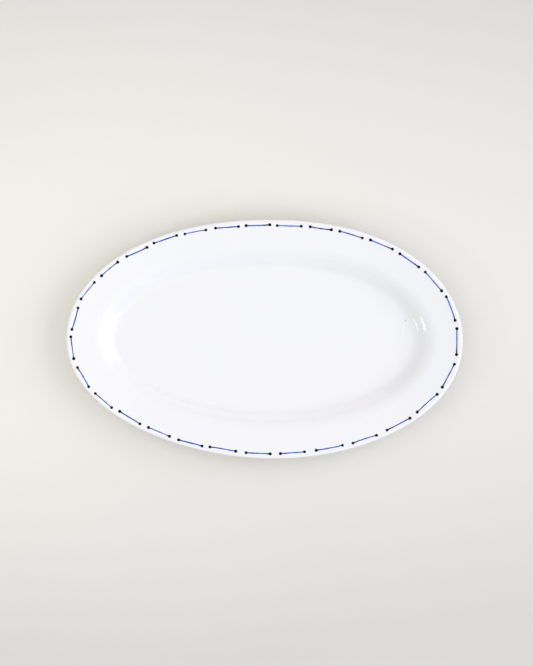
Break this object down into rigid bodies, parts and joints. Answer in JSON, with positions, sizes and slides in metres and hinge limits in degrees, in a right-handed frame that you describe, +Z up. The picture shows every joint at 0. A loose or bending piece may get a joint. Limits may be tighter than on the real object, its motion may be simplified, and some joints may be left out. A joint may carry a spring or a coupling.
{
  "type": "oval serving platter",
  "caption": "Oval white porcelain serving platter with a broad rim, a shallow well, an oval foot ring and a painted blue border of dot-ended strokes.",
  "frame": {"origin": "centre of the overall box in plan, on the plane that the foot ring stands on", "axes": "+X along the platter's length, +Y across its width, +Z up, out of the well"},
  "size_m": [0.36, 0.217, 0.0242],
  "materials": {
    "clear_glaze": "gloss",
    "bare_clay": "matte",
    "cobalt_enamel": "gloss"
  },
  "bodies": {
    "root": {"platter_body": "clear_glaze", "foot_ring": "bare_clay", "brush_stroke_01": "cobalt_enamel", "brush_stroke_02": "cobalt_enamel", "brush_stroke_03": "cobalt_enamel", "brush_stroke_04": "cobalt_enamel", "brush_stroke_05": "cobalt_enamel", "brush_stroke_06": "cobalt_enamel", "brush_stroke_07": "cobalt_enamel", "brush_stroke_08": "cobalt_enamel", "brush_stroke_09": "cobalt_enamel", "brush_stroke_10": "cobalt_enamel", "brush_stroke_11": "cobalt_enamel", "brush_stroke_12": "cobalt_enamel", "brush_stroke_13": "cobalt_enamel", "brush_stroke_14": "cobalt_enamel", "brush_stroke_15": "cobalt_enamel", "brush_stroke_16": "cobalt_enamel", "brush_stroke_17": "cobalt_enamel", "brush_stroke_18": "cobalt_enamel", "brush_stroke_19": "cobalt_enamel", "brush_stroke_20": "cobalt_enamel", "brush_stroke_21": "cobalt_enamel", "brush_stroke_22": "cobalt_enamel", "brush_stroke_23": "cobalt_enamel", "brush_stroke_24": "cobalt_enamel", "brush_stroke_25": "cobalt_enamel", "brush_stroke_26": "cobalt_enamel", "brush_stroke_27": "cobalt_enamel", "brush_stroke_28": "cobalt_enamel", "brush_stroke_29": "cobalt_enamel", "brush_stroke_30": "cobalt_enamel"}
  },
  "joints": []
}
